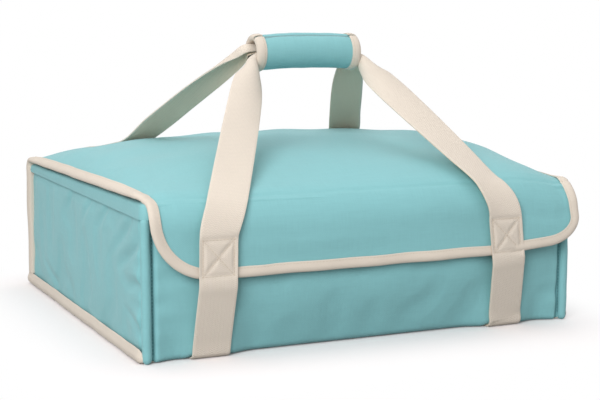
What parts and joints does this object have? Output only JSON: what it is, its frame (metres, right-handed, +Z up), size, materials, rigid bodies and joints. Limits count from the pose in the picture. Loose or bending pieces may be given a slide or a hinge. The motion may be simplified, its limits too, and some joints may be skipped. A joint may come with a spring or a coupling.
{
  "type": "pizza delivery bag",
  "caption": "Padded square fabric bag for carrying pizza boxes flat, with a crowned lid, a front flap with round corners, webbing straps and a wrapped hand grip.",
  "frame": {"origin": "centre of the bag's box at the surface it stands on", "axes": "+X to the right as seen from the front, +Y to the back with the flap facing -Y, +Z up"},
  "size_m": [0.4754, 0.4497, 0.3021],
  "materials": {
    "teal_cloth": "smooth woven polyester with a slight sheen",
    "foam": "matt closed-cell foam",
    "foil_liner": "creased metallised film",
    "base_board": "matt fluted sheet",
    "cream_binding": "matt ribbed tape",
    "cream_webbing": "matt woven webbing",
    "closure_tape": "matt hook and loop pile"
  },
  "bodies": {
    "bag_body": {"front_panel": "teal_cloth", "back_panel": "teal_cloth", "left_panel": "teal_cloth", "right_panel": "teal_cloth", "base_panel": "teal_cloth", "front_foam": "foam", "back_foam": "foam", "left_foam": "foam", "right_foam": "foam", "base_foam": "foam", "base_board": "base_board", "liner": "foil_liner", "mouth_hem": "teal_cloth", "left_piping": "teal_cloth", "right_piping": "teal_cloth", "left_binding": "cream_binding", "right_binding": "cream_binding", "closure_loop": "closure_tape", "left_girth": "cream_webbing", "right_girth": "cream_webbing"},
    "lid": {"lid_cover": "teal_cloth", "lid_top_foam": "foam", "lid_flap_foam": "foam", "lid_liner": "foil_liner", "lid_binding": "cream_binding", "closure_hook": "closure_tape"},
    "front_handle": {"front_webbing": "cream_webbing", "front_grip_cover": "teal_cloth", "front_grip_foam": "foam", "front_grip_left_end": "cream_binding", "front_grip_right_end": "cream_binding", "front_grip_top_hook": "closure_tape", "front_grip_bottom_hook": "closure_tape"},
    "back_handle": {"back_webbing": "cream_webbing", "back_grip_cover": "teal_cloth", "back_grip_foam": "foam", "back_grip_left_end": "cream_binding", "back_grip_right_end": "cream_binding", "back_grip_top_loop": "closure_tape", "back_grip_bottom_loop": "closure_tape"}
  },
  "joints": [
    {"name": "lid_hinge", "type": "hinge", "parent": "bag_body", "child": "lid", "pos_m": [0, 0.2225, 0.145], "axis": [-1, 0, 0], "range_deg": [0, 90], "deforming": ["front_webbing"]},
    {"name": "front_handle_swing", "type": "hinge", "parent": "bag_body", "child": "front_handle", "pos_m": [0, -0.2248, 0.071], "axis": [1, 0, 0], "range_deg": [0, 135]},
    {"name": "back_handle_swing", "type": "hinge", "parent": "lid", "child": "back_handle", "pos_m": [0, 0.2225, 0.145], "axis": [-1, 0, 0], "range_deg": [0, 80]}
  ],
  "couplings": [
    {"joint": "front_handle_swing", "follows": "lid_hinge", "ratio": 1.5}
  ]
}
